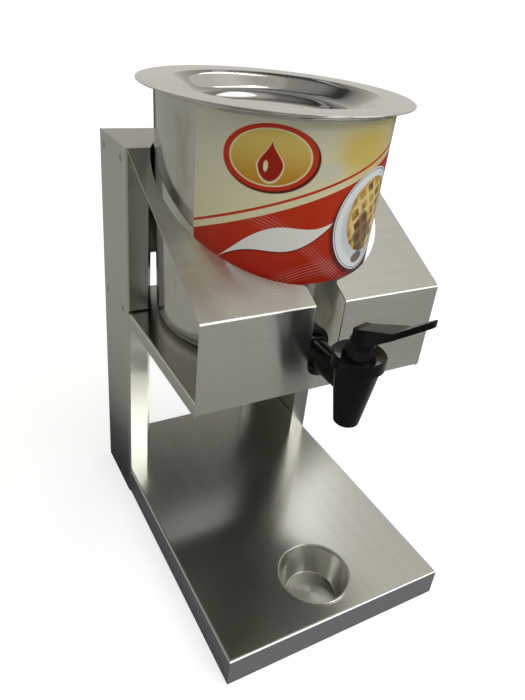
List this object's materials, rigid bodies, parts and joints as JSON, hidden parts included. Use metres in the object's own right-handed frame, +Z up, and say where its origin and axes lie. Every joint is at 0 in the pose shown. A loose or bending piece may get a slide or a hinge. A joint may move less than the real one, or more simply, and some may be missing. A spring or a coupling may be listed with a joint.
{
  "type": "syrup dispenser",
  "caption": "Countertop stainless steel dispenser: a bent-sheet stand holds a lift-out lidded pot with a self-closing plastic faucet above a drip cup in the base.",
  "frame": {"origin": "on the counter, under the middle of the whole object's box", "axes": "+Z up, -Y towards the user (the faucet's side), +X to the user's right"},
  "size_m": [0.2324, 0.3348, 0.4441],
  "materials": {
    "brushed_stainless": "brushed, warm grey",
    "satin_stainless": "satin",
    "polished_stainless": "polished",
    "spun_stainless": "fine spun rings",
    "black_plastic": "gloss",
    "black_rubber": "matt",
    "printed_vinyl": "printed, satin varnish",
    "spring_steel": "bright drawn wire",
    "valve_plastic": "moulded, semi-matt"
  },
  "bodies": {
    "stand": {"base_tray": "brushed_stainless", "left_post": "brushed_stainless", "right_post": "brushed_stainless", "pot_shelf": "brushed_stainless", "fascia_panel": "brushed_stainless"},
    "pot_assembly": {"pot": "satin_stainless", "pot_label": "printed_vinyl", "faucet_body": "black_plastic", "outer_seal_washer": "black_rubber", "inner_seal_washer": "black_rubber", "shank_flat_washer": "satin_stainless", "shank_nut": "black_plastic", "bonnet": "black_plastic"},
    "lid": {"pot_lid": "polished_stainless"},
    "cup": {"drip_cup": "spun_stainless"},
    "seat_valve": {"seat_cup": "black_rubber", "stem_spring": "spring_steel"},
    "stem": {"stem": "valve_plastic", "pivot_pin": "black_plastic"},
    "lever": {"lever": "black_plastic"}
  },
  "joints": [
    {"name": "pot_lift", "type": "slide", "parent": "stand", "child": "pot_assembly", "axis": [0, 0, 1], "range_m": [0, 0.2]},
    {"name": "lid_lift", "type": "slide", "parent": "pot_assembly", "child": "lid", "axis": [0, 0, 1], "range_m": [0, 0.1]},
    {"name": "drip_cup_lift", "type": "slide", "parent": "stand", "child": "cup", "axis": [0, 0, 1], "range_m": [0, 0.12]},
    {"name": "stem_lift", "type": "slide", "parent": "pot_assembly", "child": "seat_valve", "axis": [0, 0, 1], "range_m": [0, 0.0045], "stiffness_N_per_m": 400, "springref_m": -0.006, "deforming": ["stem_spring"]},
    {"name": "lever_swivel", "type": "hinge", "parent": "seat_valve", "child": "stem", "pos_m": [0, -0.1134, 0.3], "axis": [0, 0, 1], "range_deg": [-105, 75]},
    {"name": "lever_tilt", "type": "hinge", "parent": "stem", "child": "lever", "pos_m": [0, -0.1134, 0.2972], "axis": [0.9659, 0.2588, 0], "range_deg": [0, 28]}
  ],
  "couplings": [
    {"joint": "lever_tilt", "follows": "stem_lift", "rad_per_m": 108.6}
  ]
}
